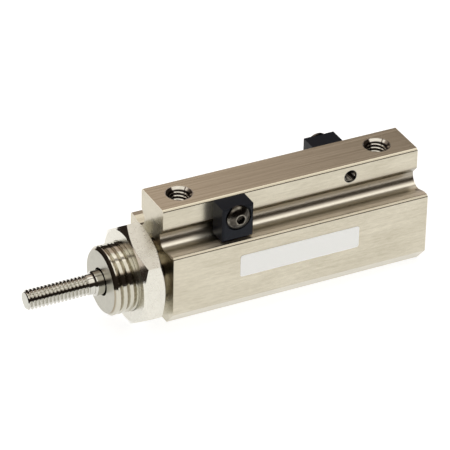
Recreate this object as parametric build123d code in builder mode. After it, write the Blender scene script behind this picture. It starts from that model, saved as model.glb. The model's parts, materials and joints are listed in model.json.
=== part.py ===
from build123d import *
import math
import os

# A pneumatic pin cylinder: an extruded body with a ported rail on top, a threaded nose
# with its mounting nut, a magnetic piston on a rod, and a switch clamp on each side.
# Millimetres. X runs along the bore from the rod end to the rear, Z is up.
# The origin is on the bore axis at the body's front face.

# Driving sizes of the cylinder
bore_d = 15.0
body_length = 56.2
stroke_allowance = 24.45

# Body section: the block round the bore
side_wall = 2.15
floor_wall = 0.9
base_chamfer_y = 2.8
base_chamfer_z = 3.15
ledge_rise = 0.25
ledge_edge = 0.4

# Body section: the rail and the switch channels beside it
rail_width = 9.6
rail_rise = 8.08
rail_side = 4.43
rail_edge = 0.42
lip_undercut = 1.4
lip_drop = 1.6
channel_r = 2.4
valley_depth = 0.58
bead_drop = 0.3
bead_out = 3.6
ledge_out = 4.6
edge_soft_r = 0.4

# Ports in the rail
port_thread_r = 2.1
port_mouth_r = 2.85
port_depth = 5.5
port_passage_r = 1.3
front_port_x = 5.73
rear_port_inset = 6.75

# Switch clamps, their screws and the tapped holes in the rail
front_clamp_x = 14.1
rear_clamp_inset = 15.1
tap_drop = 2.6
tap_r = 1.25
tap_depth = 4.4
tap_mouth_r = 1.45
clamp_length = 6.7
clamp_height = 7.2
clamp_thickness = 4.35
clamp_below_top = 0.33
clamp_edge = 0.35
clamp_hole_r = 1.35
recess_r = 2.8
recess_depth = 0.4
screw_head_r = 2.5
screw_head_height = 1.5
screw_head_rim = 0.3
screw_flat_r = 1.2
screw_length = 8.0
screw_core_r = 1.22
socket_af = 1.65
socket_depth = 0.9

# Nose, panel nut and front end
nose_length = 11.04
nose_r = 7.0
nose_chamfer = 0.65
pitch_drop = 0.35
relief_r = 6.1
relief_length = 1.5
nose_mouth_r = 2.85
nose_mouth_depth = 1.2
nut_af = 19.0
nut_thickness = 4.55
nut_standoff = 1.5
nut_face_r = 9.25
nut_chamfer_deg = 30
nut_turn_deg = 4.4
nut_mouth = 0.4

# Rod
rod_d = 5.0
rod_reach = 13.0
rod_chamfer = 0.3
rod_thread_r = 2.05
rod_thread_length = 14.05
rod_tip_chamfer = 0.4
rod_stud_r = 2.0

# Covers and what seals them
spigot_length = 4.2
head_thickness = 3.4
head_boss_r = 4.6
head_boss = 0.6
cover_ring_section = 1.2
ring_sides = 6
cover_groove_length = 1.5
cover_groove_inset = 1.4
pocket_r = 4.5
seal_length = 2.8
seal_washer = 0.8
seal_lip = 0.9
seal_wall = 0.55
bumper_r = 5.0
bumper_thickness = 0.8
bumper_hole_r = 2.9

# Retaining ring at the rear
ring_thickness = 0.8
ring_land = 0.25
ring_groove_depth = 0.4
ring_width = 1.3
ring_gap_deg = 50
ring_eye_r = 1.25
ring_eye_hole_r = 0.5

# Piston
hub_r = 5.0
hub_length = 2.0
front_land = 3.8
magnet_length = 2.6
rear_land = 2.8
piston_gap = 0.06
piston_seal_length = 1.8
piston_seal_depth = 2.0
piston_seal_waist = 0.5
wear_ring_length = 1.5
wear_ring_depth = 0.9
magnet_inset = 0.35
magnet_bore_r = 3.6
rod_ring_section = 0.9
lock_nut_af = 7.0
lock_nut_thickness = 2.8
lock_nut_mouth = 0.2

# Clearances
seat_gap = 0.02
run_gap = 0.03
stop_gap = 0.05
same_place = 0.001
cut = 1.0

# Places worked out from the sizes
bore_r = bore_d / 2
block_half = bore_r + side_wall
base_z = -(bore_r + floor_wall)
ledge_z = bore_r + ledge_rise
rail_half = rail_width / 2
rail_top = ledge_z + rail_rise
lip_z = rail_top - rail_side
neck_half = rail_half - lip_undercut
neck_top = lip_z - lip_drop
valley_z = ledge_z - valley_depth
edge_foot_z = rail_top - rail_edge
corner_foot_z = ledge_z - ledge_edge
tap_z = rail_top - tap_drop
rod_r = rod_d / 2
nut_front_x = -(nut_standoff + nut_thickness)
pitch_r = nose_r - pitch_drop
stroke = body_length - stroke_allowance
rear_port_x = body_length - rear_port_inset
rear_clamp_x = body_length - rear_clamp_inset
head_front_x = body_length - ring_land - ring_thickness - seat_gap - head_thickness
front_stop_x = spigot_length + bumper_thickness
rear_stop_x = head_front_x - bumper_thickness
piston_x = front_stop_x + stop_gap + stroke
land_x = piston_x + hub_length
magnet_x = land_x + front_land
rear_land_x = magnet_x + magnet_length
lock_nut_x = rear_land_x + rear_land
pocket_front_x = -nose_length + nose_mouth_depth
washer_x = pocket_front_x + seal_length + seat_gap
bush_x = washer_x + seal_washer + seat_gap

os.makedirs("parts", exist_ok=True)


def save(part, name):
    part.label = name
    export_step(part, f"parts/{name}.step")


# Cylinder body: the extruded section, bored through
with BuildPart() as cylinder_body:
    with BuildSketch(Plane.YZ) as body_section:
        with BuildLine():
            crown = Line((0, rail_top), (rail_half - rail_edge, rail_top))
            edge = Line(crown @ 1, (rail_half, edge_foot_z))
            side = Line(edge @ 1, (rail_half, lip_z))
            lip = Line(side @ 1, (neck_half, neck_top))
            neck = Line(lip @ 1, (neck_half, valley_z + channel_r))
            valley = RadiusArc(neck @ 1, (neck_half + channel_r, valley_z), -channel_r)
            rise = Line(valley @ 1, (neck_half + bead_out, ledge_z - bead_drop))
            bead = Line(rise @ 1, (neck_half + ledge_out, ledge_z))
            ledge = Line(bead @ 1, (block_half - ledge_edge, ledge_z))
            corner = Line(ledge @ 1, (block_half, corner_foot_z))
            flank = Line(corner @ 1, (block_half, base_z + base_chamfer_z))
            base_edge = Line(flank @ 1, (block_half - base_chamfer_y, base_z))
            base = Line(base_edge @ 1, (0, base_z))
            mirror(about=Plane.YZ)
        make_face()
        soft_corners = body_section.vertices().filter_by(
            lambda v: min(abs(v.Y - edge_foot_z), abs(v.Y - corner_foot_z)) < same_place
        )
        fillet(soft_corners, radius=edge_soft_r)
        Circle(bore_r, mode=Mode.SUBTRACT)
    extrude(amount=body_length)
    # Ports from the top of the rail, each with a narrower passage to the bore
    with BuildSketch(Plane.XY.offset(rail_top)):
        with Locations((front_port_x, 0), (rear_port_x, 0)):
            Circle(port_thread_r)
    extrude(amount=-port_depth, mode=Mode.SUBTRACT)
    with BuildSketch(Plane.XY.offset(rail_top)):
        with Locations((front_port_x, 0), (rear_port_x, 0)):
            Circle(port_passage_r)
    extrude(amount=-rail_top, mode=Mode.SUBTRACT)
    port_rims = (
        cylinder_body.edges(Select.ALL)
        .filter_by(GeomType.CIRCLE)
        .filter_by(lambda e: abs(e.radius - port_thread_r) < same_place)
        .group_by(Axis.Z)[-1]
    )
    chamfer(port_rims, length=port_mouth_r - port_thread_r)
    # Two tapped holes in each side of the rail
    for side_sign in (-1, 1):
        with Locations(
            Location((front_clamp_x, side_sign * rail_half, tap_z), (side_sign * -90, 0, 0)),
            Location((rear_clamp_x, side_sign * rail_half, tap_z), (side_sign * -90, 0, 0)),
        ):
            CounterSinkHole(tap_r, tap_mouth_r, depth=tap_depth, counter_sink_angle=90)
    # Groove for the retaining ring at the rear of the bore
    with BuildSketch(Plane.YZ.offset(body_length - ring_land - ring_thickness)):
        Circle(bore_r + ring_groove_depth)
    extrude(amount=ring_thickness, mode=Mode.SUBTRACT)
save(cylinder_body.part, "cylinder_body")

# Rod cover: the threaded nose with a spigot in the bore
with BuildPart() as rod_cover:
    with BuildSketch(Plane.XZ):
        with BuildLine():
            Polyline(
                (-nose_length, nose_mouth_r),
                (-nose_length, nose_r - nose_chamfer),
                (-nose_length + nose_chamfer, nose_r),
                (nut_front_x - stop_gap, nose_r),
                (nut_front_x - stop_gap, pitch_r),
                (-relief_length, pitch_r),
                (-relief_length, relief_r),
                (0, relief_r),
                (0, bore_r - seat_gap),
                (cover_groove_inset, bore_r - seat_gap),
                (cover_groove_inset, bore_r - cover_ring_section),
                (cover_groove_inset + cover_groove_length, bore_r - cover_ring_section),
                (cover_groove_inset + cover_groove_length, bore_r - seat_gap),
                (spigot_length, bore_r - seat_gap),
                (spigot_length, pocket_r),
                (pocket_front_x, pocket_r),
                (pocket_front_x, nose_mouth_r),
                close=True,
            )
        make_face()
    revolve(axis=Axis.X)
save(rod_cover.part, "rod_cover")


# O-ring as it lies squeezed in its groove: a round section flattened on its sides
def o_ring(centre_x, inner_r, section):
    width = section - seat_gap
    with BuildPart() as ring:
        with BuildSketch(Plane.XZ):
            with Locations((centre_x, inner_r + section / 2)):
                RegularPolygon(width / 2, ring_sides, major_radius=False)
        revolve(axis=Axis.X)
    return ring.part


# Plain ring of rectangular section, such as a washer, bush or wear ring
def plain_ring(x, length, inner_r, outer_r):
    with BuildPart() as ring:
        with BuildSketch(Plane.YZ.offset(x)):
            Circle(outer_r)
            Circle(inner_r, mode=Mode.SUBTRACT)
        extrude(amount=length)
    return ring.part


save(
    o_ring(
        cover_groove_inset + cover_groove_length / 2,
        bore_r - cover_ring_section,
        cover_ring_section,
    ),
    "rod_cover_o_ring",
)

# Rod seal: a lipped ring, open towards the pressure side
with BuildPart() as rod_seal:
    with BuildSketch(Plane.XZ):
        with BuildLine():
            Polyline(
                (pocket_front_x + seat_gap, rod_r + run_gap),
                (pocket_front_x + seat_gap, pocket_r - seat_gap),
                (pocket_front_x + seal_length, pocket_r - seat_gap),
                (pocket_front_x + seal_length, pocket_r - seal_wall),
                (pocket_front_x + seal_length - seal_lip, (rod_r + pocket_r) / 2),
                (pocket_front_x + seal_length, rod_r + run_gap + seal_wall),
                (pocket_front_x + seal_length, rod_r + run_gap),
                close=True,
            )
        make_face()
    revolve(axis=Axis.X)
save(rod_seal.part, "rod_seal")

seal_washer_part = plain_ring(washer_x, seal_washer, rod_r + run_gap, pocket_r - seat_gap)
save(seal_washer_part, "seal_backing_washer")
rod_bush = plain_ring(bush_x, spigot_length - bush_x, rod_r + run_gap, pocket_r - seat_gap)
save(rod_bush, "rod_bush")
front_bumper = plain_ring(spigot_length, bumper_thickness, bumper_hole_r, bumper_r)
save(front_bumper, "front_bumper")


# Hexagon nut on the X axis, chamfered on both faces, with a mouth at each end of its thread
def hex_nut(x, thickness, across_flats, face_r, chamfer_deg, hole_r, mouth, turn_deg):
    corner_r = across_flats / math.sqrt(3)
    fall = (corner_r + cut - face_r) * math.tan(math.radians(chamfer_deg))
    with BuildPart() as nut:
        with BuildSketch(Plane.YZ.offset(x)):
            RegularPolygon(corner_r, 6, rotation=90 - turn_deg)
        extrude(amount=thickness)
        with BuildSketch(Plane.XZ):
            with BuildLine():
                Polyline(
                    (x, hole_r + mouth),
                    (x, face_r),
                    (x + fall, corner_r + cut),
                    (x + thickness - fall, corner_r + cut),
                    (x + thickness, face_r),
                    (x + thickness, hole_r + mouth),
                    (x + thickness - mouth, hole_r),
                    (x + mouth, hole_r),
                    close=True,
                )
            make_face()
        revolve(axis=Axis.X, mode=Mode.INTERSECT)
    return nut.part


mounting_nut = hex_nut(
    nut_front_x,
    nut_thickness,
    nut_af,
    nut_face_r,
    nut_chamfer_deg,
    pitch_r + stop_gap,
    nut_mouth,
    nut_turn_deg,
)
save(mounting_nut, "mounting_nut")

# Piston rod: the threaded end outside, the ground rod, and the stud that carries the piston
with BuildPart() as piston_rod:
    with BuildSketch(Plane.XZ):
        with BuildLine():
            Polyline(
                (-rod_reach - rod_thread_length, 0),
                (-rod_reach - rod_thread_length, rod_thread_r - rod_tip_chamfer),
                (-rod_reach - rod_thread_length + rod_tip_chamfer, rod_thread_r),
                (-rod_reach, rod_thread_r),
                (-rod_reach, rod_r - rod_chamfer),
                (-rod_reach + rod_chamfer, rod_r),
                (piston_x, rod_r),
                (piston_x, rod_stud_r),
                (lock_nut_x + lock_nut_thickness, rod_stud_r),
                (lock_nut_x + lock_nut_thickness, 0),
                close=True,
            )
        make_face()
    revolve(axis=Axis.X)
save(piston_rod.part, "piston_rod")

# Front half of the piston, with its hub, seal groove and the rod's static ring
piston_r = bore_r - piston_gap
seal_groove_x = land_x + (front_land - piston_seal_length) / 2
rod_ring_x = land_x + front_land / 2
rod_groove_half = rod_ring_section / 2 / math.cos(math.pi / ring_sides) + seat_gap
with BuildPart() as piston_front:
    with BuildSketch(Plane.XZ):
        with BuildLine():
            Polyline(
                (piston_x + seat_gap, rod_stud_r + seat_gap),
                (piston_x + seat_gap, hub_r),
                (land_x, hub_r),
                (land_x, piston_r),
                (seal_groove_x, piston_r),
                (seal_groove_x, bore_r - piston_seal_depth),
                (seal_groove_x + piston_seal_length, bore_r - piston_seal_depth),
                (seal_groove_x + piston_seal_length, piston_r),
                (magnet_x, piston_r),
                (magnet_x, rod_stud_r + seat_gap),
                (rod_ring_x + rod_groove_half, rod_stud_r + seat_gap),
                (rod_ring_x + rod_groove_half, rod_stud_r + rod_ring_section),
                (rod_ring_x - rod_groove_half, rod_stud_r + rod_ring_section),
                (rod_ring_x - rod_groove_half, rod_stud_r + seat_gap),
                close=True,
            )
        make_face()
    revolve(axis=Axis.X)
save(piston_front.part, "piston_front")
save(o_ring(rod_ring_x, rod_stud_r, rod_ring_section), "rod_o_ring")

# Piston seal: a ring with a waist, which bears on the bore at its two lips
with BuildPart() as piston_seal:
    with BuildSketch(Plane.XZ):
        with BuildLine():
            inner = Line(
                (seal_groove_x + seat_gap, bore_r - piston_seal_depth + seat_gap),
                (seal_groove_x + piston_seal_length - seat_gap, bore_r - piston_seal_depth + seat_gap),
            )
            rise = Line(inner @ 1, (seal_groove_x + piston_seal_length - seat_gap, bore_r - run_gap))
            waist = Polyline(
                rise @ 1,
                (seal_groove_x + piston_seal_length / 2, bore_r - piston_seal_waist),
                (seal_groove_x + seat_gap, bore_r - run_gap),
            )
            Line(waist @ 1, inner @ 0)
        make_face()
    revolve(axis=Axis.X)
save(piston_seal.part, "piston_seal")

# Magnet ring between the halves, seated on a spigot of the rear half
magnet_outer_r = piston_r - magnet_inset
save(plain_ring(magnet_x, magnet_length, magnet_bore_r, magnet_outer_r), "piston_magnet")

# Rear half of the piston, with the spigot that carries the magnet and the wear ring's groove
wear_groove_x = rear_land_x + (rear_land - wear_ring_length) / 2
with BuildPart() as piston_rear:
    with BuildSketch(Plane.XZ):
        with BuildLine():
            Polyline(
                (magnet_x, rod_stud_r + seat_gap),
                (magnet_x, magnet_bore_r - seat_gap),
                (rear_land_x, magnet_bore_r - seat_gap),
                (rear_land_x, piston_r),
                (wear_groove_x, piston_r),
                (wear_groove_x, bore_r - wear_ring_depth),
                (wear_groove_x + wear_ring_length, bore_r - wear_ring_depth),
                (wear_groove_x + wear_ring_length, piston_r),
                (lock_nut_x, piston_r),
                (lock_nut_x, rod_stud_r + seat_gap),
                close=True,
            )
        make_face()
    revolve(axis=Axis.X)
save(piston_rear.part, "piston_rear")
wear_ring = plain_ring(
    wear_groove_x + seat_gap,
    wear_ring_length - 2 * seat_gap,
    bore_r - wear_ring_depth + seat_gap,
    bore_r - run_gap,
)
save(wear_ring, "wear_ring")
piston_nut = hex_nut(
    lock_nut_x,
    lock_nut_thickness,
    lock_nut_af,
    lock_nut_af / 2,
    nut_chamfer_deg,
    rod_stud_r + seat_gap,
    lock_nut_mouth,
    0,
)
save(piston_nut, "piston_nut")

# Head cover: the plug that closes the rear of the bore
head_groove_x = head_front_x + (head_thickness - cover_groove_length) / 2
head_rear_x = head_front_x + head_thickness
with BuildPart() as head_cover:
    with BuildSketch(Plane.XZ):
        with BuildLine():
            Polyline(
                (head_front_x, 0),
                (head_front_x, bore_r - seat_gap),
                (head_groove_x, bore_r - seat_gap),
                (head_groove_x, bore_r - cover_ring_section),
                (head_groove_x + cover_groove_length, bore_r - cover_ring_section),
                (head_groove_x + cover_groove_length, bore_r - seat_gap),
                (head_rear_x, bore_r - seat_gap),
                (head_rear_x, head_boss_r),
                (head_rear_x + head_boss, head_boss_r),
                (head_rear_x + head_boss, 0),
                close=True,
            )
        make_face()
    revolve(axis=Axis.X)
save(head_cover.part, "head_cover")
save(
    o_ring(head_groove_x + cover_groove_length / 2, bore_r - cover_ring_section, cover_ring_section),
    "head_cover_o_ring",
)
save(plain_ring(rear_stop_x, bumper_thickness, bumper_hole_r, bumper_r), "rear_bumper")

# Retaining ring: an open ring with an eye at each end, in the groove behind the head cover
ring_outer_r = bore_r + ring_groove_depth - seat_gap
ring_inner_r = ring_outer_r - ring_width
eye_circle_r = ring_outer_r - ring_groove_depth - ring_eye_r
gap_start_deg = -90 - ring_gap_deg / 2
gap_reach = ring_outer_r * 2
with BuildPart() as retaining_ring:
    with BuildSketch(Plane.YZ.offset(body_length - ring_land - ring_thickness + seat_gap / 2)):
        Circle(ring_outer_r)
        Circle(ring_inner_r, mode=Mode.SUBTRACT)
        with BuildLine(mode=Mode.PRIVATE) as wedge:
            start = PolarLine((0, 0), gap_reach, gap_start_deg)
            end = PolarLine((0, 0), gap_reach, gap_start_deg + ring_gap_deg)
            Line(start @ 1, end @ 1)
        make_face(wedge.edges(), mode=Mode.SUBTRACT)
        with PolarLocations(eye_circle_r, 2, gap_start_deg, ring_gap_deg, endpoint=True):
            Circle(ring_eye_r)
            Circle(ring_eye_hole_r, mode=Mode.SUBTRACT)
    extrude(amount=ring_thickness - seat_gap)
save(retaining_ring.part, "retaining_ring")


# Switch clamp: a block on the rail's side with a recess for its screw's head
def switch_clamp(x, side_sign):
    top = rail_top - clamp_below_top
    outward = Plane(origin=(x, side_sign * rail_half, 0), x_dir=(1, 0, 0), z_dir=(0, side_sign, 0))
    z_up = -side_sign
    with BuildPart() as clamp:
        with BuildSketch(outward):
            with Locations((0, z_up * (top - clamp_height / 2))):
                Rectangle(clamp_length, clamp_height)
        extrude(amount=clamp_thickness)
        outer_face = clamp.faces().sort_by(Axis.Y)[-1 if side_sign > 0 else 0]
        chamfer(outer_face.edges(), length=clamp_edge)
        with BuildSketch(outward):
            with Locations((0, z_up * tap_z)):
                Circle(clamp_hole_r)
        extrude(amount=clamp_thickness, mode=Mode.SUBTRACT)
        with BuildSketch(outward.offset(clamp_thickness - recess_depth)):
            with Locations((0, z_up * tap_z)):
                Circle(recess_r)
        extrude(amount=recess_depth, mode=Mode.SUBTRACT)
    return clamp.part


# Clamp screw: a tapered button head with a hexagon socket, seated in the recess and screwed into the rail
def clamp_screw(x, side_sign):
    floor = rail_half + clamp_thickness - recess_depth
    seat = (x, side_sign * floor, tap_z)
    lengthwise = Plane(origin=seat, x_dir=(1, 0, 0), z_dir=(0, 0, side_sign))
    outward = Plane(origin=seat, x_dir=(1, 0, 0), z_dir=(0, side_sign, 0))
    with BuildPart() as screw:
        with BuildSketch(lengthwise):
            with BuildLine():
                Polyline(
                    (0, -screw_length),
                    (screw_core_r, -screw_length),
                    (screw_core_r, 0),
                    (screw_head_r, 0),
                    (screw_head_r, screw_head_rim),
                    (screw_flat_r, screw_head_height),
                    (0, screw_head_height),
                    close=True,
                )
            make_face()
        revolve(axis=Axis(seat, (0, 1, 0)))
        with BuildSketch(outward.offset(screw_head_height - socket_depth)):
            RegularPolygon(socket_af / 2, 6, major_radius=False)
        extrude(amount=socket_depth, mode=Mode.SUBTRACT)
    return screw.part


save(switch_clamp(front_clamp_x, -1), "near_switch_clamp")
save(clamp_screw(front_clamp_x, -1), "near_clamp_screw")
save(switch_clamp(rear_clamp_x, 1), "far_switch_clamp")
save(clamp_screw(rear_clamp_x, 1), "far_clamp_screw")
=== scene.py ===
import json
import math

import bmesh
import bpy
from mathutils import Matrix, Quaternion, Vector


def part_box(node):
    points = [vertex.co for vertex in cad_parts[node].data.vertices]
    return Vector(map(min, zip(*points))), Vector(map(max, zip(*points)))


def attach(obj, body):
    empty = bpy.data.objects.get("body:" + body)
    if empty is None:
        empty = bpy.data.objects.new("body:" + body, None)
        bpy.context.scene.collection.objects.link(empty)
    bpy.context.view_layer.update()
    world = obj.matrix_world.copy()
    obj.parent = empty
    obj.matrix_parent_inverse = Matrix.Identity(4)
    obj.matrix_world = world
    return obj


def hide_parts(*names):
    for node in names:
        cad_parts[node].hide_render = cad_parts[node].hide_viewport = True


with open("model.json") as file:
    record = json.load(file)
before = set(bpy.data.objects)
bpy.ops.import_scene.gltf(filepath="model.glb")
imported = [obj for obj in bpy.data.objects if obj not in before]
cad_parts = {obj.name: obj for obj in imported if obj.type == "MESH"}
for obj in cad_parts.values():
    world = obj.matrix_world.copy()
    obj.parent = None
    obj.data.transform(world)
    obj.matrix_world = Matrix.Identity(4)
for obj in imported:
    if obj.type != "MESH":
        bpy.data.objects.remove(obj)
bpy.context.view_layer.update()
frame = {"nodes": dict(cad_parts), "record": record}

MM = 0.001
nodes = frame["nodes"]
mounts = {mount["name"]: mount for mount in frame["record"]["mounts"]}

# Edges sharper than this are drawn sharp, in degrees
SHARP_ANGLE = 35
SAME_PLACE = 0.001 * MM

# Camera, fitted to the photograph
CAMERA_AIM = Vector((15.93, 0.0, 5.87)) * MM
CAMERA_DISTANCE = 673.3 * MM
CAMERA_AZIMUTH = -27.41
CAMERA_ELEVATION = 31.83
CAMERA_ROLL = 1.27
CAMERA_LENS = 274.05
CAMERA_SENSOR = 36.0
CAMERA_CLIP_START = 0.01
CAMERA_CLIP_END = 20.0

# Light panels overhead, as slopes from the vertical: each edge goes from dark to bright. A dim gap
# runs between the panels, and a weaker fringe goes on past the far one.
PANEL_NEAR_EDGE = (-1.3, -0.8)
PANEL_FAR_EDGE = (0.85, 0.5)
PANEL_LEFT_EDGE = (-1.3, -0.9)
PANEL_RIGHT_EDGE = (0.93, 0.7)
PANEL_GAP = 0.05
PANEL_GAP_EDGE = (0.04, 0.13)
PANEL_GAP_LIGHT = 0.08
FRINGE_FAR_EDGE = (2.6, 1.6)
FRINGE_LIGHT = 0.5

# Low card on the rod's side, as slopes from its direction
CARD_NEAR_EDGE = (0.02, 0.1)
CARD_FAR_EDGE = (0.6, 0.42)
CARD_FOOT = (-0.05, -0.02)
CARD_TOP = (0.5, 0.3)
CARD_LIGHT = 0.6

# Least share of a direction that a slope is taken from, so that it stays finite
LEAST_SHARE = 0.05

PANEL_COLOUR = (1.3, 1.25, 1.18)
FRINGE_COLOUR = (0.66, 0.55, 0.48)
ROOM_COLOUR = (0.026, 0.019, 0.015)
BACKDROP_COLOUR = (1.0, 1.0, 1.0)

# Lamp overhead, in metres and watts
LAMP_PLACE = (0.1, 0.05, 0.7)
LAMP_AIM = (0.02, 0, 0)
LAMP_SIZE = 0.45
LAMP_POWER = 0.2
LAMP_COLOUR = (1.0, 0.98, 0.95)

# Floor: its length, how far it reaches past the nut on the rod's side, and its looks
FLOOR_SIZE = 12.0
FLOOR_PAST_ROD = 0.071
FLOOR_DARK = (0.42, 0.42, 0.42)
FLOOR_LIGHT = (0.45, 0.45, 0.45)
FLOOR_SPECKLE = 300.0
FLOOR_ROUGHNESS = 0.8
FLOOR_GLOW = 0.84

# Threads: pitch, depth below the crest, and the flat shares of a pitch at the crest and the root
NOSE_PITCH = 1.411 * MM
NOSE_THREAD_DEPTH = 0.5 * MM
NOSE_CREST = 0.5
NOSE_ROOT = 0.08
NOSE_PHASE = 0.32
ROD_PITCH = 0.794 * MM
ROD_THREAD_DEPTH = 0.5 * MM
ROD_THREAD_LENGTH = 13.2 * MM
PORT_PITCH = 0.8 * MM
PORT_THREAD_DEPTH = 0.3 * MM
TAP_PITCH = 0.45 * MM
TAP_THREAD_DEPTH = 0.18 * MM
THREAD_FLAT = 0.13

# Rings along the turned skins, and points around them
NOSE_RINGS = 120
NOSE_AROUND = 160
ROD_RINGS = 270
ROD_AROUND = 72
HOLE_RINGS_PER_PITCH = 18
HOLE_AROUND = 64
SCREW_DOME_RINGS = 8
SCREW_AROUND = 48

# Sizes of the holes that their mounts do not give
PORT_MOUTH_R = 2.85 * MM
PORT_DEPTH = 5.3 * MM
TAP_MOUTH_R = 1.45 * MM
TAP_DEPTH = 4.2 * MM
RAIL_HALF = 4.8 * MM
HOLE_SKIN_GAP = 0.005 * MM
MOUTH_RIDGE_SHARE = 0.6

# Dark and light tones of the metal in the holes, darker in the tapped ones as painted shade, and
# the tints of its unshaded parts and of the painted shade in its roots
PORT_TONES = ((0.6, 0.57, 0.5), (0.74, 0.71, 0.64))
TAP_PAINTED_SHADE_TONES = ((0.22, 0.2, 0.17), (0.42, 0.4, 0.35))
HOLE_UNSHADED = (0.9, 0.9, 0.9)
HOLE_ROOT_SHADE = (0.05, 0.045, 0.04)

# Sizes of the rod cover that its box does not give
NOSE_R = mounts["nose_thread"]["dims"]["r_mm"] * MM
NOSE_CHAMFER = 0.65 * MM
NOSE_MOUTH_R = 2.85 * MM
NOSE_MOUTH_DEPTH = 1.2 * MM
PITCH_DROP = 0.35 * MM
RELIEF_R = 6.1 * MM
RELIEF_LENGTH = 1.5 * MM
POCKET_R = 4.5 * MM

# Sizes of the rod
ROD_R = 2.5 * MM
ROD_STUD_R = 2.0 * MM
ROD_CHAMFER = 0.3 * MM
ROD_THREAD_R = mounts["rod_thread"]["dims"]["r_mm"] * MM
ROD_THREAD_HALF = mounts["rod_thread"]["dims"]["length_mm"] / 2 * MM
ROD_SHOULDER_X = mounts["rod_thread"]["pos_m"][0] + ROD_THREAD_HALF
ROD_TIP_CHAMFER = 0.4 * MM

# Sizes of a clamp screw that its box does not give
SCREW_HEAD_HEIGHT = 1.5 * MM
SCREW_RIM = 0.45 * MM
SCREW_SHOULDER = 0.25 * MM
SCREW_SHOULDER_SLOPE = 1.4
SCREW_BULGE = 0.05 * MM
SCREW_LAND_R = 1.1 * MM
SCREW_SHANK_R = 1.22 * MM
SOCKET_AF = 1.65 * MM
SOCKET_MOUTH = 1.2
SOCKET_LIP = 0.08 * MM
SOCKET_DEPTH = 0.9 * MM
SOCKET_POINT = 1.2
SOCKET_POINT_R = 0.05 * MM

# Front chamfer of the nut: where its cone meets the face, its slope, how far off the cone its
# polish ends, and its share of the roughness
NUT_FACE_R = 9.25 * MM
NUT_CHAMFER_SLOPE = math.tan(math.radians(30))
NUT_CHAMFER_EDGE = (0.03 * MM, 0.1 * MM)
NUT_CHAMFER_POLISH = 0.4

# Places on the body's section where its finish and its painted light change
RAIL_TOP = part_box("cylinder_body")[1][2]
BLOCK_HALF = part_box("cylinder_body")[1][1]
LEDGE_Z = 7.75 * MM
LIP_Z = 11.4 * MM
TOP_LINES_EDGE = (RAIL_TOP - 0.5 * MM, RAIL_TOP - 0.1 * MM)
TOP_PAINTED_LIGHT_EDGE = (RAIL_TOP - 0.2 * MM, RAIL_TOP - 0.04 * MM)
LEDGE_EDGE = (LEDGE_Z - 0.7 * MM, LEDGE_Z - 0.3 * MM)
LIP_EDGE = (LIP_Z + 0.5 * MM, LIP_Z - 0.1 * MM)
FLANK_EDGE = (BLOCK_HALF - 0.3 * MM, BLOCK_HALF - 0.9 * MM)
NEAR_SIDE_EDGE = (1.0 * MM, -1.0 * MM)
CHANNEL_START = -7.0 * MM
CHANNEL_END = 1.0 * MM
PAST_BEAD_EDGE = (0.54, 0.66)

# How dull the body's metal is, and how much the rail's top is lightened, which is painted light
BODY_ROUGHNESS = 0.23
CHANNEL_ROUGHNESS = 0.29
LEDGE_ROUGHNESS = 0.5
ROUGHNESS_SWING = 0.2
TOP_PAINTED_LIGHT_GAIN = 1.36

# Shares of the draw lines, the clouds and the grain in the body's tones, each elsewhere and on top
BODY_LINES = (0.25, 0.75)
BODY_CLOUDS = (0.45, 0.1)
BODY_GRAIN = (0.3, 0.15)

# Shares of the grain, the lines and the clouds in a machined metal's tones, and how much its
# roughness follows them
METAL_GRAIN = 0.4
METAL_LINES = 0.35
METAL_CLOUDS = 0.25
METAL_CLOUD_SCALE = 150.0
METAL_SWING = 0.06

# The part of a grain's range that its two tones span, and how strongly it stands out
GRAIN_LOW = 0.36
GRAIN_HIGH = 0.64
METAL_BUMP = 0.6
PLASTIC_BUMP = 0.5

# Bare plate on the near side, with a faint glow that is painted light
PLATE_X = (14.5 * MM, 40.8 * MM)
PLATE_Z = (-0.25 * MM, 4.6 * MM)
PLATE_THICKNESS = 0.07 * MM
PLATE_CORNER = 0.5 * MM
PLATE_CORNER_STEPS = 8
PLATE_BEVEL = 0.4
PLATE_GLOW = 0.07
PLATE_GLOW_COLOUR = (1, 1, 0.97, 1)

# Painted light and shade down a channel, from the lip to the ledge: arc, painted highlight on the
# bead, ledge
CHANNEL_PAINTED_LIGHT = [
    (0.0, (0.38, 0.35, 0.29)),
    (0.15, (0.38, 0.35, 0.29)),
    (0.25, (0.7, 0.64, 0.53)),
    (0.35, (0.38, 0.35, 0.29)),
    (0.41, (0.62, 0.58, 0.5)),
    (0.47, (0.95, 0.92, 0.81)),
    (0.5, (0.95, 0.92, 0.81)),
    (0.54, (0.6, 0.55, 0.47)),
    (0.59, (0.5, 0.46, 0.38)),
    (0.7, (0.86, 0.78, 0.66)),
    (0.85, (0.98, 0.9, 0.77)),
]

# Tones of the channel's draw lines
STREAK_DARK = (0.86, 0.85, 0.83)
STREAK_LIGHT = (1.0, 1.0, 1.0)

# Painted light across a screw's head, from its socket to its rim: painted shade in the socket,
# painted highlights on the socket's lip and on the rim
SCREW_PAINTED_LIGHT = [
    (0.0, (0.15, 0.14, 0.13)),
    (0.34, (0.2, 0.19, 0.18)),
    (0.38, (0.9, 0.9, 0.88)),
    (0.43, (0.8, 0.8, 0.78)),
    (0.48, (0.3, 0.29, 0.28)),
    (0.82, (0.3, 0.29, 0.28)),
    (0.93, (0.9, 0.9, 0.88)),
    (0.97, (0.8, 0.8, 0.78)),
    (1.0, (0.4, 0.4, 0.4)),
]

# Painted shade from a thread's root to its crest: darkest in the root, none on the crest
SHADED_THREAD_ROOTS = [(0.0, (0.62, 0.57, 0.5)), (0.25, (0.85, 0.83, 0.8)), (0.45, (1.0, 1.0, 1.0))]


# Small helpers for node materials
def new_material(name):
    material = bpy.data.materials.new(name)
    material.use_nodes = True
    tree = material.node_tree
    shader = tree.nodes["Principled BSDF"]
    return material, tree, shader


def add_node(tree, kind, **settings):
    node = tree.nodes.new(kind)
    for key, value in settings.items():
        setattr(node, key, value)
    return node


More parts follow.
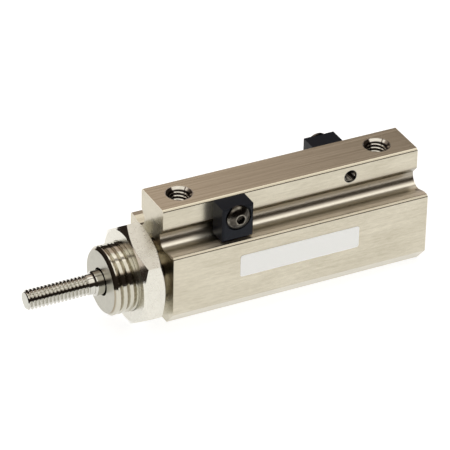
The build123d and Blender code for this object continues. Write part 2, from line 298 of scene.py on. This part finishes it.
def object_coordinates(tree, scale=(1, 1, 1)):
    place = add_node(tree, "ShaderNodeTexCoord")
    mapping = add_node(tree, "ShaderNodeMapping")
    mapping.inputs["Scale"].default_value = scale
    tree.links.new(place.outputs["Object"], mapping.inputs["Vector"])
    return mapping.outputs["Vector"]


def split_coordinates(tree):
    split = add_node(tree, "ShaderNodeSeparateXYZ")
    tree.links.new(object_coordinates(tree), split.inputs[0])
    return split.outputs["X"], split.outputs["Y"], split.outputs["Z"]


def noise(tree, scale, stretch=(1, 1, 1), detail=4.0, roughness=0.55):
    texture = add_node(tree, "ShaderNodeTexNoise")
    texture.inputs["Scale"].default_value = scale
    texture.inputs["Detail"].default_value = detail
    texture.inputs["Roughness"].default_value = roughness
    tree.links.new(object_coordinates(tree, stretch), texture.inputs["Vector"])
    return texture.outputs["Fac"]


def ramp(tree, source, stops):
    node = add_node(tree, "ShaderNodeValToRGB")
    elements = node.color_ramp.elements
    while len(elements) < len(stops):
        elements.new(0.5)
    for element, (position, colour) in zip(elements, stops):
        element.position = position
        element.color = (*colour, 1.0)
    tree.links.new(source, node.inputs["Fac"])
    return node.outputs["Color"]


def two_tones(tree, grain, dark, light):
    return ramp(tree, grain, [(GRAIN_LOW, dark), (GRAIN_HIGH, light)])


def multiply_colours(tree, first, second):
    node = add_node(tree, "ShaderNodeMix", data_type="RGBA", blend_type="MULTIPLY")
    node.inputs["Factor"].default_value = 1.0
    tree.links.new(first, node.inputs["A"])
    tree.links.new(second, node.inputs["B"])
    return node.outputs["Result"]


# Maps 0 to 1 onto low to high
def spread(tree, source, low, high):
    node = add_node(tree, "ShaderNodeMapRange")
    node.inputs["To Min"].default_value = low
    node.inputs["To Max"].default_value = high
    tree.links.new(source, node.inputs["Value"])
    return node.outputs["Result"]


# Maps low to high onto 0 to 1, evenly
def share_between(tree, value, low, high):
    node = add_node(tree, "ShaderNodeMapRange")
    node.inputs["From Min"].default_value = low
    node.inputs["From Max"].default_value = high
    tree.links.new(value, node.inputs["Value"])
    return node.outputs["Result"]


# Maps low to high onto 0 to 1, softly
def edge(tree, value, low, high):
    node = add_node(tree, "ShaderNodeMapRange", interpolation_type="SMOOTHSTEP")
    node.inputs["From Min"].default_value = low
    node.inputs["From Max"].default_value = high
    tree.links.new(value, node.inputs["Value"])
    return node.outputs["Result"]


def bump(tree, shader, source, strength, distance):
    node = add_node(tree, "ShaderNodeBump")
    node.inputs["Strength"].default_value = strength
    node.inputs["Distance"].default_value = distance
    tree.links.new(source, node.inputs["Height"])
    tree.links.new(node.outputs["Normal"], shader.inputs["Normal"])


def math_node(tree, operation, first, second=0.0):
    node = add_node(tree, "ShaderNodeMath", operation=operation)
    for socket, value in zip(node.inputs, (first, second)):
        if isinstance(value, (int, float)):
            socket.default_value = value
        else:
            tree.links.new(value, socket)
    return node.outputs[0]


def times(tree, first, *others):
    for other in others:
        first = math_node(tree, "MULTIPLY", first, other)
    return first


def plus(tree, first, *others):
    for other in others:
        first = math_node(tree, "ADD", first, other)
    return first


def minus(tree, first, second):
    return math_node(tree, "SUBTRACT", first, second)


# A machined metal: two tones in fine streaks and soft clouds, with roughness and bump to match
def metal(name, dark, light, roughness, streak=(1, 1, 1), scale=900.0, relief=0.00001):
    material, tree, shader = new_material(name)
    grain = noise(tree, scale, streak)
    lines = noise(tree, scale / 3, tuple(share * share for share in streak), detail=2.0)
    cloud = noise(tree, METAL_CLOUD_SCALE, detail=6.0)
    mixed = plus(
        tree,
        times(tree, grain, METAL_GRAIN),
        times(tree, lines, METAL_LINES),
        times(tree, cloud, METAL_CLOUDS),
    )
    tree.links.new(two_tones(tree, mixed, dark, light), shader.inputs["Base Color"])
    dull = spread(tree, mixed, roughness - METAL_SWING, roughness + METAL_SWING)
    tree.links.new(dull, shader.inputs["Roughness"])
    shader.inputs["Metallic"].default_value = 1.0
    bump(tree, shader, grain, METAL_BUMP, relief)
    return material


# Tones a metal by the distance from a straight axis: painted shade in a thread's roots, crests
# left as they are, painted highlights on a screw head's rings
def tone_by_radius(material, centre, across, inner_r, outer_r, stops):
    tree = material.node_tree
    shader = tree.nodes["Principled BSDF"]
    colour = shader.inputs["Base Color"].links[0].from_socket
    place = add_node(tree, "ShaderNodeTexCoord")
    shifted = add_node(tree, "ShaderNodeVectorMath", operation="SUBTRACT")
    shifted.inputs[1].default_value = centre
    tree.links.new(place.outputs["Object"], shifted.inputs[0])
    flat = add_node(tree, "ShaderNodeVectorMath", operation="MULTIPLY")
    flat.inputs[1].default_value = across
    tree.links.new(shifted.outputs["Vector"], flat.inputs[0])
    length = add_node(tree, "ShaderNodeVectorMath", operation="LENGTH")
    tree.links.new(flat.outputs["Vector"], length.inputs[0])
    share = share_between(tree, length.outputs["Value"], inner_r, outer_r)
    toned = multiply_colours(tree, colour, ramp(tree, share, stops))
    tree.links.new(toned, shader.inputs["Base Color"])


# Polishes the cone of the nut's front chamfer, which its tool left brighter than the flats
def polish_chamfer(material, front_x, face_r, slope, polish):
    tree = material.node_tree
    shader = tree.nodes["Principled BSDF"]
    roughness = shader.inputs["Roughness"].links[0].from_socket
    x, y, z = split_coordinates(tree)
    reach = math_node(tree, "SQRT", plus(tree, times(tree, y, y), times(tree, z, z)))
    rise = times(tree, minus(tree, reach, face_r), slope)
    above = minus(tree, minus(tree, x, front_x), rise)
    off_cone = spread(tree, edge(tree, above, *NUT_CHAMFER_EDGE), polish, 1.0)
    tree.links.new(times(tree, roughness, off_cone), shader.inputs["Roughness"])


# The body's extruded metal: long draw lines on the rail's top and finer ones elsewhere, and the
# top lightened as painted light. The near channel has its own painted light and shade and is
# duller, most of all past its bead.
def extruded_metal(name, dark, light, painted_channel_stops):
    material, tree, shader = new_material(name)
    _, y, z = split_coordinates(tree)
    width = math_node(tree, "ABSOLUTE", y)
    on_top = edge(tree, z, *TOP_LINES_EDGE)
    in_channel = times(
        tree,
        edge(tree, z, *LEDGE_EDGE),
        edge(tree, z, *LIP_EDGE),
        edge(tree, width, *FLANK_EDGE),
        edge(tree, y, *NEAR_SIDE_EDGE),
    )
    grain = noise(tree, 3200.0, stretch=(0.2, 1, 1))
    lines = noise(tree, 2200.0, stretch=(0.015, 1, 1), detail=3.0)
    cloud = noise(tree, 260.0, stretch=(0.5, 1, 1), detail=8.0, roughness=0.65)
    mixed = plus(
        tree,
        times(tree, lines, spread(tree, on_top, *BODY_LINES)),
        times(tree, cloud, spread(tree, on_top, *BODY_CLOUDS)),
        times(tree, grain, spread(tree, on_top, *BODY_GRAIN)),
    )

    down_channel = share_between(tree, minus(tree, width, z), CHANNEL_START, CHANNEL_END)
    # Painted light and shade down the near channel
    painted_channel_light = ramp(tree, down_channel, painted_channel_stops)
    streaks = two_tones(tree, mixed, STREAK_DARK, STREAK_LIGHT)
    toned = add_node(tree, "ShaderNodeMix", data_type="RGBA")
    tree.links.new(in_channel, toned.inputs["Factor"])
    tree.links.new(two_tones(tree, mixed, dark, light), toned.inputs["A"])
    tree.links.new(multiply_colours(tree, painted_channel_light, streaks), toned.inputs["B"])
    # The rail's top lightened, which is painted light
    painted_top_light = spread(tree, edge(tree, z, *TOP_PAINTED_LIGHT_EDGE), 1.0, TOP_PAINTED_LIGHT_GAIN)
    colour = multiply_colours(tree, toned.outputs["Result"], painted_top_light)
    tree.links.new(colour, shader.inputs["Base Color"])

    past_bead = times(tree, in_channel, edge(tree, down_channel, *PAST_BEAD_EDGE))
    roughness = plus(
        tree,
        spread(tree, in_channel, BODY_ROUGHNESS, CHANNEL_ROUGHNESS),
        times(tree, past_bead, LEDGE_ROUGHNESS - CHANNEL_ROUGHNESS),
        times(tree, minus(tree, mixed, 0.5), ROUGHNESS_SWING),
    )
    tree.links.new(roughness, shader.inputs["Roughness"])
    shader.inputs["Metallic"].default_value = 1.0
    bump(tree, shader, grain, METAL_BUMP, 0.000003)
    return material


def plastic(name, dark, light, roughness, scale=1400.0, relief=0.00001, gloss=0.5):
    material, tree, shader = new_material(name)
    grain = noise(tree, scale)
    colour = ramp(tree, grain, [(0.3, dark), (0.7, light)])
    tree.links.new(colour, shader.inputs["Base Color"])
    dull = spread(tree, grain, roughness - 0.05, roughness + 0.08)
    tree.links.new(dull, shader.inputs["Roughness"])
    shader.inputs["Specular IOR Level"].default_value = gloss
    bump(tree, shader, grain, PLASTIC_BUMP, relief)
    return material


body_metal = extruded_metal("body_metal", (0.5, 0.46, 0.36), (0.64, 0.6, 0.49), CHANNEL_PAINTED_LIGHT)
plated_metal = metal(
    "plated_metal", (0.59, 0.57, 0.485), (0.69, 0.665, 0.58), 0.16, scale=2500.0, relief=0.000003
)
nut_metal = metal(
    "nut_metal", (0.67, 0.655, 0.585), (0.78, 0.765, 0.69), 0.28, scale=2500.0, relief=0.000005
)
thread_metal = metal(
    "thread_metal", (0.52, 0.5, 0.42), (0.62, 0.6, 0.52), 0.1, (1, 0.3, 0.3), 700.0, 0.000001
)
turned_face = metal(
    "turned_face", (0.43, 0.42, 0.365), (0.51, 0.5, 0.435), 0.32, scale=2200.0, relief=0.000004
)
tip_face = metal(
    "tip_face", (0.56, 0.56, 0.5), (0.64, 0.64, 0.58), 0.3, scale=2200.0, relief=0.000004
)
rod_metal = metal(
    "rod_metal", (0.55, 0.54, 0.49), (0.64, 0.63, 0.58), 0.07, (1, 0.2, 0.2), 900.0, 0.000001
)
screw_metal = metal(
    "screw_metal", (0.08, 0.07, 0.055), (0.34, 0.31, 0.26), 0.2, scale=1500.0, relief=0.000012
)
inner_metal = metal("inner_metal", (0.55, 0.55, 0.56), (0.7, 0.7, 0.71), 0.3)
ring_metal = metal("ring_metal", (0.08, 0.08, 0.08), (0.14, 0.135, 0.13), 0.4)
bronze = metal("bronze", (0.42, 0.27, 0.12), (0.55, 0.36, 0.17), 0.38)
magnet_black = metal("magnet_black", (0.06, 0.06, 0.065), (0.1, 0.1, 0.105), 0.5)
clamp_black = plastic(
    "clamp_black", (0.006, 0.008, 0.013), (0.01, 0.013, 0.021), 0.42, gloss=0.16
)
seal_black = plastic("seal_black", (0.01, 0.01, 0.01), (0.025, 0.025, 0.025), 0.55)
bumper_grey = plastic("bumper_grey", (0.03, 0.03, 0.032), (0.06, 0.06, 0.062), 0.6)
wear_nylon = plastic("wear_nylon", (0.66, 0.62, 0.52), (0.75, 0.71, 0.62), 0.5)
plate_white = plastic(
    "plate_white", (0.94, 0.96, 0.93), (0.98, 0.99, 0.97), 0.3, 600.0, 0.000003, gloss=1.0
)
plate_shader = plate_white.node_tree.nodes["Principled BSDF"]
plate_shader.inputs["Emission Color"].default_value = PLATE_GLOW_COLOUR
plate_shader.inputs["Emission Strength"].default_value = PLATE_GLOW

polish_chamfer(
    nut_metal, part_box("mounting_nut")[0][0], NUT_FACE_R, NUT_CHAMFER_SLOPE, NUT_CHAMFER_POLISH
)
# Painted shade in the roots of the nose thread
tone_by_radius(
    thread_metal, (0, 0, 0), (0, 1, 1), NOSE_R - NOSE_THREAD_DEPTH, NOSE_R, SHADED_THREAD_ROOTS
)

NODE_MATERIALS = {
    "cylinder_body": body_metal,
    "rod_cover": plated_metal,
    "mounting_nut": nut_metal,
    "piston_rod": rod_metal,
    "near_clamp_screw": screw_metal,
    "far_clamp_screw": screw_metal,
    "near_switch_clamp": clamp_black,
    "far_switch_clamp": clamp_black,
    "head_cover": inner_metal,
    "piston_front": inner_metal,
    "piston_rear": inner_metal,
    "rod_cover_o_ring": seal_black,
    "head_cover_o_ring": seal_black,
    "rod_o_ring": seal_black,
    "rod_seal": seal_black,
    "piston_seal": seal_black,
    "front_bumper": bumper_grey,
    "rear_bumper": bumper_grey,
    "rod_bush": bronze,
    "seal_backing_washer": ring_metal,
    "retaining_ring": ring_metal,
    "piston_nut": ring_metal,
    "piston_magnet": magnet_black,
    "wear_ring": wear_nylon,
}
for node_name, node_material in NODE_MATERIALS.items():
    slots = nodes[node_name].data.materials
    slots.clear()
    slots.append(node_material)


# Mesh pieces
def new_piece(name, mesh, material, body):
    piece = bpy.data.objects.new(name, mesh)
    bpy.context.collection.objects.link(piece)
    mesh.materials.append(material)
    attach(piece, body)
    return piece


# Turned skin: each ring is (distance along the axis, radius), the radius a number or a function
# of the angle. The ends are capped, joined to each other or left open.
def turned_skin(name, rings, around, axis, ends="capped"):
    origin, along_axis, side_axis, up_axis = axis
    mesh = bpy.data.meshes.new(name)
    work = bmesh.new()
    loops = []
    for along, radius in rings:
        loop = []
        for step in range(around):
            angle = 2 * math.pi * step / around
            reach = radius(angle) if callable(radius) else radius
            place = origin + along_axis * along
            place = place + side_axis * (reach * math.cos(angle))
            place = place + up_axis * (reach * math.sin(angle))
            loop.append(work.verts.new(place))
        loops.append(loop)
    pairs = list(zip(loops, loops[1:]))
    if ends == "joined":
        pairs.append((loops[-1], loops[0]))
    for first, second in pairs:
        for step in range(around):
            after = (step + 1) % around
            work.faces.new((first[step], first[after], second[after], second[step]))
    if ends == "capped":
        work.faces.new(loops[0][::-1])
        work.faces.new(loops[-1])
    bmesh.ops.recalc_face_normals(work, faces=work.faces)
    for face in work.faces:
        face.smooth = True
    work.to_mesh(mesh)
    work.free()
    mesh.set_sharp_from_angle(angle=math.radians(SHARP_ANGLE))
    return mesh


# Gives the flat end at end_x a metal of its own
def face_end(mesh, end_x, material):
    mesh.materials.append(material)
    for face in mesh.polygons:
        if face.center.x < end_x + SAME_PLACE:
            face.material_index = 1


def steps(start, end, count):
    return [start + (end - start) * index / count for index in range(count + 1)]


# Height of a thread's flank, 0 at the root and 1 at the crest, over one pitch
def thread_height(turns, crest=THREAD_FLAT, root=THREAD_FLAT):
    phase = turns % 1.0
    flank = (1 - crest - root) / 2
    if phase < root:
        return 0.0
    if phase < root + flank:
        return (phase - root) / flank
    if phase < root + flank + crest:
        return 1.0
    return 1 - (phase - root - flank - crest) / flank


def fade(value, low, high):
    share = min(max((value - low) / (high - low), 0.0), 1.0)
    return share * share * (3 - 2 * share)


X_AXIS = (Vector((0, 0, 0)), Vector((1, 0, 0)), Vector((0, 1, 0)), Vector((0, 0, 1)))


# Rod cover with its thread cut, in place of the plain solid
def make_rod_cover():
    low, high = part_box("rod_cover")
    face_x = low[0]
    thread_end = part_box("mounting_nut")[0][0]
    pitch_r = NOSE_R - PITCH_DROP

    def threaded(along):
        chamfer_r = NOSE_R - NOSE_CHAMFER + (along - face_x)

        def radius(angle):
            turns = along / NOSE_PITCH - angle / (2 * math.pi) + NOSE_PHASE
            height = thread_height(turns, NOSE_CREST, NOSE_ROOT)
            return min(chamfer_r, NOSE_R - NOSE_THREAD_DEPTH * (1 - height))

        return radius

    rings = [(face_x, NOSE_MOUTH_R), (face_x, NOSE_R - NOSE_CHAMFER)]
    rings += [(along, threaded(along)) for along in steps(face_x, thread_end, NOSE_RINGS)[1:]]
    rings += [
        (thread_end, pitch_r),
        (-RELIEF_LENGTH, pitch_r),
        (-RELIEF_LENGTH, RELIEF_R),
        (0.0, RELIEF_R),
        (0.0, high[2]),
        (high[0], high[2]),
        (high[0], POCKET_R),
        (face_x + NOSE_MOUTH_DEPTH, POCKET_R),
        (face_x + NOSE_MOUTH_DEPTH, NOSE_MOUTH_R),
    ]
    mesh = turned_skin("rod_cover_skin", rings, NOSE_AROUND, X_AXIS, ends="joined")
    piece = new_piece("nose_and_thread", mesh, thread_metal, "cylinder")
    face_end(mesh, face_x, turned_face)
    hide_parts("rod_cover")


# Piston rod with its end thread cut, in place of the plain solid
def make_rod():
    low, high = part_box("piston_rod")
    tip_x = low[0]
    stud_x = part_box("piston_front")[0][0]
    thread_end = tip_x + ROD_THREAD_LENGTH

    def threaded(along):
        depth = ROD_THREAD_DEPTH * (1 - fade(along, thread_end - ROD_PITCH, thread_end))
        chamfer_r = ROD_THREAD_R - ROD_TIP_CHAMFER + (along - tip_x)

        def radius(angle):
            turns = along / ROD_PITCH - angle / (2 * math.pi)
            return min(chamfer_r, ROD_THREAD_R - depth * (1 - thread_height(turns)))

        return radius

    rings = [(along, threaded(along)) for along in steps(tip_x, thread_end, ROD_RINGS)]
    rings += [
        (ROD_SHOULDER_X, ROD_THREAD_R),
        (ROD_SHOULDER_X, ROD_R - ROD_CHAMFER),
        (ROD_SHOULDER_X + ROD_CHAMFER, ROD_R),
        (stud_x, ROD_R),
        (stud_x, ROD_STUD_R),
        (high[0], ROD_STUD_R),
    ]
    mesh = turned_skin("rod_skin", rings, ROD_AROUND, X_AXIS)
    piece = new_piece("rod_and_thread", mesh, rod_metal, "rod")
    face_end(mesh, tip_x, tip_face)
    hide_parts("piston_rod")


# Clamp screw in place of the plain solid: a domed head with a hexagon socket
def make_clamp_screw(node, outward):
    low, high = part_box(node)
    seat = Vector(((low[0] + high[0]) / 2, 0, (low[2] + high[2]) / 2))
    tip_y, top_y = (low[1], high[1]) if outward > 0 else (high[1], low[1])
    top = abs(top_y - tip_y)
    under_head = top - SCREW_HEAD_HEIGHT
    head_r = (high[0] - low[0]) / 2

    def hexagon(angle):
        across = math.radians(60)
        return SOCKET_AF / 2 / math.cos(angle % across - across / 2)

    rings = [(0.0, SCREW_SHANK_R), (under_head, SCREW_SHANK_R), (under_head, head_r)]
    rings.append((under_head + SCREW_RIM, head_r))
    shoulder_r = head_r - SCREW_SHOULDER
    shoulder = under_head + SCREW_RIM + SCREW_SHOULDER * SCREW_SHOULDER_SLOPE
    for share in steps(0, 1, SCREW_DOME_RINGS):
        bulge = math.sin(share * math.pi) * SCREW_BULGE
        along = shoulder + (top - shoulder) * share + bulge
        rings.append((along, shoulder_r - (shoulder_r - SCREW_LAND_R) * share))
    rings += [
        (top, SOCKET_AF / 2 * SOCKET_MOUTH),
        (top - SOCKET_LIP, hexagon),
        (top - SOCKET_DEPTH, hexagon),
        (top - SOCKET_DEPTH * SOCKET_POINT, SOCKET_POINT_R),
    ]
    origin = Vector((seat.x, tip_y, seat.z))
    axis = (origin, Vector((0, outward, 0)), Vector((1, 0, 0)), Vector((0, 0, 1)))
    mesh = turned_skin(f"{node}_skin", rings, SCREW_AROUND, axis)
    dark, light = (0.03, 0.028, 0.022), (0.4, 0.37, 0.32)
    material = metal(f"{node}_metal", dark, light, 0.22, scale=1300.0, relief=0.00003)
    # Painted shade in the socket, painted highlights on its lip and on the head's rim
    tone_by_radius(material, seat, (1, 0, 1), 0.0, head_r, SCREW_PAINTED_LIGHT)
    piece = new_piece(f"{node}_domed", mesh, material, "cylinder")
    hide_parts(node)


# Cut thread inside a hole and across its tapered mouth, laid just over the hole's own wall
def make_hole_thread(mount_name, surface, depth, pitch, ridge, mouth_r, tones):
    mount = mounts[mount_name]
    axis = Vector(mount["axis"])
    centre = Vector(mount["pos_m"])
    wall_r = mount["dims"]["r_mm"] * MM
    side = axis.orthogonal().normalized()
    top = surface - abs(centre.dot(axis))
    mouth_foot = top - (mouth_r - wall_r)
    thread_foot = top - depth

    def threaded(along):
        wall = wall_r + max(along - mouth_foot, 0.0)
        crest = wall_r - ridge
        share = fade(along, thread_foot, thread_foot + pitch)

        def radius(angle):
            turns = along / pitch - angle / (2 * math.pi)
            cut_r = crest + (wall_r - crest) * (1 - thread_height(turns) * share)
            if along > mouth_foot:
                cut_r = max(cut_r, wall - MOUTH_RIDGE_SHARE * ridge)
            return cut_r - HOLE_SKIN_GAP

        return radius

    count = int(depth / pitch * HOLE_RINGS_PER_PITCH)
    rings = [(along, threaded(along)) for along in steps(thread_foot, top - HOLE_SKIN_GAP, count)]
    rings.append((top - HOLE_SKIN_GAP, mouth_r - 2 * HOLE_SKIN_GAP))
    hole_axis = (centre, axis, side, axis.cross(side))
    mesh = turned_skin(f"{mount_name}_skin", rings, HOLE_AROUND, hole_axis, ends="open")
    mesh.flip_normals()
    material = metal(f"{mount_name}_metal", *tones, 0.12, scale=1500.0, relief=0.000002)
    across = tuple(1 - abs(share) for share in axis)
    wall_share = ridge / (mouth_r - wall_r + ridge)
    # Painted shade in the thread's roots and at the foot of its mouth; crests and the rest of the
    # mouth unshaded
    stops = [
        (0.0, (1.0, 1.0, 1.0)),
        (wall_share * 0.35, HOLE_UNSHADED),
        (wall_share * 0.6, HOLE_ROOT_SHADE),
        (wall_share * 1.1, HOLE_ROOT_SHADE),
        (min(wall_share * 1.6, 0.9), HOLE_UNSHADED),
    ]
    tone_by_radius(material, centre, across, wall_r - ridge, mouth_r, stops)
    new_piece(f"{mount_name}_thread", mesh, material, "cylinder")


# Bare plate: a thin panel with rounded corners, seated on the near side
def make_plate():
    seat_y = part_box("cylinder_body")[0][1]
    left, right = PLATE_X[0] + PLATE_CORNER, PLATE_X[1] - PLATE_CORNER
    low, high = PLATE_Z[0] + PLATE_CORNER, PLATE_Z[1] - PLATE_CORNER
    outline = []
    for corner, (x, z) in enumerate(((right, high), (left, high), (left, low), (right, low))):
        for angle in steps(corner * 90, corner * 90 + 90, PLATE_CORNER_STEPS):
            turn = math.radians(angle)
            outline.append((x + PLATE_CORNER * math.cos(turn), z + PLATE_CORNER * math.sin(turn)))
    mesh = bpy.data.meshes.new("bare_plate")
    work = bmesh.new()
    back = [work.verts.new((x, seat_y, z)) for x, z in outline]
    base = work.faces.new(back)
    lifted = bmesh.ops.extrude_face_region(work, geom=[base])
    moved = [item for item in lifted["geom"] if isinstance(item, bmesh.types.BMVert)]
    bmesh.ops.translate(work, verts=moved, vec=(0, -PLATE_THICKNESS, 0))
    bmesh.ops.recalc_face_normals(work, faces=work.faces)
    work.to_mesh(mesh)
    work.free()
    piece = new_piece("bare_plate", mesh, plate_white, "cylinder")
    bevel = piece.modifiers.new("edge", "BEVEL")
    bevel.width = PLATE_THICKNESS * PLATE_BEVEL
    bevel.segments = 2


make_rod_cover()
make_rod()
make_clamp_screw("near_clamp_screw", -1)
make_clamp_screw("far_clamp_screw", 1)
for port in ("front_port", "rear_port"):
    make_hole_thread(
        port, RAIL_TOP, PORT_DEPTH, PORT_PITCH, PORT_THREAD_DEPTH, PORT_MOUTH_R, PORT_TONES
    )
# The tapped holes take darker tones, which is painted shade
for hole in ("near_switch_hole", "far_switch_hole"):
    make_hole_thread(
        hole, RAIL_HALF, TAP_DEPTH, TAP_PITCH, TAP_THREAD_DEPTH, TAP_MOUTH_R, TAP_PAINTED_SHADE_TONES
    )
make_plate()


# Camera
def make_camera():
    azimuth, elevation = math.radians(CAMERA_AZIMUTH), math.radians(CAMERA_ELEVATION)
    back = Vector(
        (
            math.sin(azimuth) * math.cos(elevation),
            -math.cos(azimuth) * math.cos(elevation),
            math.sin(elevation),
        )
    )
    camera = bpy.data.objects.new("camera", bpy.data.cameras.new("camera"))
    bpy.context.collection.objects.link(camera)
    camera.data.lens = CAMERA_LENS
    camera.data.sensor_width = CAMERA_SENSOR
    camera.data.clip_start = CAMERA_CLIP_START
    camera.data.clip_end = CAMERA_CLIP_END
    camera.location = CAMERA_AIM + back * CAMERA_DISTANCE
    camera.rotation_mode = "QUATERNION"
    level = (-back).to_track_quat("-Z", "Y")
    camera.rotation_quaternion = level @ Quaternion((0, 0, 1), math.radians(CAMERA_ROLL))
    bpy.context.scene.camera = camera


# Floor: a wide pale plane that the nut's lowest corner and the body's rear edge stand on
def make_floor():
    body_low, body_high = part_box("cylinder_body")
    nut_low, nut_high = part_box("mounting_nut")
    front = Vector(((nut_low[0] + nut_high[0]) / 2, 0, nut_low[2]))
    rear = Vector((body_high[0], 0, body_low[2]))
    slope = math.atan2(rear.z - front.z, rear.x - front.x)
    bpy.ops.mesh.primitive_plane_add(size=FLOOR_SIZE, location=front)
    floor = bpy.context.object
    shift = FLOOR_SIZE / 2 - FLOOR_PAST_ROD
    floor.location += Vector((shift, 0, shift * math.tan(slope)))
    floor.name = "floor"
    floor.rotation_euler = (0, -slope, 0)
    material, tree, shader = new_material("floor")
    speckle = noise(tree, FLOOR_SPECKLE)
    colour = ramp(tree, speckle, [(0.0, FLOOR_DARK), (1.0, FLOOR_LIGHT)])
    tree.links.new(colour, shader.inputs["Base Color"])
    shader.inputs["Roughness"].default_value = FLOOR_ROUGHNESS
    shader.inputs["Emission Color"].default_value = (1, 1, 1, 1)
    shader.inputs["Emission Strength"].default_value = FLOOR_GLOW
    floor.data.materials.append(material)


# Surroundings: two soft panels overhead with a fringe, and a low card, in a dark room. What the
# camera sees past the part is the plain backdrop.
def make_surroundings():
    world = bpy.data.worlds.new("studio")
    bpy.context.scene.world = world
    world.use_nodes = True
    tree = world.node_tree
    background = tree.nodes["Background"]
    split = add_node(tree, "ShaderNodeSeparateXYZ")
    tree.links.new(add_node(tree, "ShaderNodeTexCoord").outputs["Generated"], split.inputs[0])
    x, y, z = split.outputs["X"], split.outputs["Y"], split.outputs["Z"]

    height = math_node(tree, "MAXIMUM", z, LEAST_SHARE)
    along = math_node(tree, "DIVIDE", x, height)
    across = math_node(tree, "DIVIDE", y, height)
    from_gap = math_node(tree, "ABSOLUTE", minus(tree, across, PANEL_GAP))
    gap = math_node(tree, "MAXIMUM", edge(tree, from_gap, *PANEL_GAP_EDGE), PANEL_GAP_LIGHT)
    fringe = times(tree, edge(tree, across, *FRINGE_FAR_EDGE), FRINGE_LIGHT)
    depth = math_node(tree, "MAXIMUM", edge(tree, across, *PANEL_FAR_EDGE), fringe)
    near = edge(tree, across, *PANEL_NEAR_EDGE)
    left, right = edge(tree, along, *PANEL_LEFT_EDGE), edge(tree, along, *PANEL_RIGHT_EDGE)
    panels = times(tree, near, depth, times(tree, left, right), gap)

    outward = math_node(tree, "MAXIMUM", times(tree, x, -1.0), LEAST_SHARE)
    card_side = math_node(tree, "DIVIDE", y, outward)
    card_height = math_node(tree, "DIVIDE", z, outward)
    card = times(
        tree,
        edge(tree, card_side, *CARD_NEAR_EDGE),
        edge(tree, card_side, *CARD_FAR_EDGE),
        edge(tree, card_height, *CARD_FOOT),
        edge(tree, card_height, *CARD_TOP),
        CARD_LIGHT,
    )
    lit = math_node(tree, "MAXIMUM", panels, card)
    sky = ramp(tree, lit, [(0.0, ROOM_COLOUR), (0.5, FRINGE_COLOUR), (1.0, PANEL_COLOUR)])

    path = add_node(tree, "ShaderNodeLightPath")
    seen = add_node(tree, "ShaderNodeMix", data_type="RGBA")
    seen.inputs["B"].default_value = (*BACKDROP_COLOUR, 1.0)
    tree.links.new(path.outputs["Is Camera Ray"], seen.inputs["Factor"])
    tree.links.new(sky, seen.inputs["A"])
    tree.links.new(seen.outputs["Result"], background.inputs["Color"])


def make_lamp():
    light = bpy.data.lights.new("overhead", "AREA")
    light.size = LAMP_SIZE
    light.energy = LAMP_POWER
    light.color = LAMP_COLOUR
    lamp = bpy.data.objects.new("overhead", light)
    bpy.context.collection.objects.link(lamp)
    lamp.location = LAMP_PLACE
    aim = Vector(LAMP_AIM) - Vector(LAMP_PLACE)
    lamp.rotation_euler = aim.to_track_quat("-Z", "Y").to_euler()


make_camera()
make_floor()
make_surroundings()
make_lamp()
bpy.context.scene.view_settings.view_transform = "Standard"
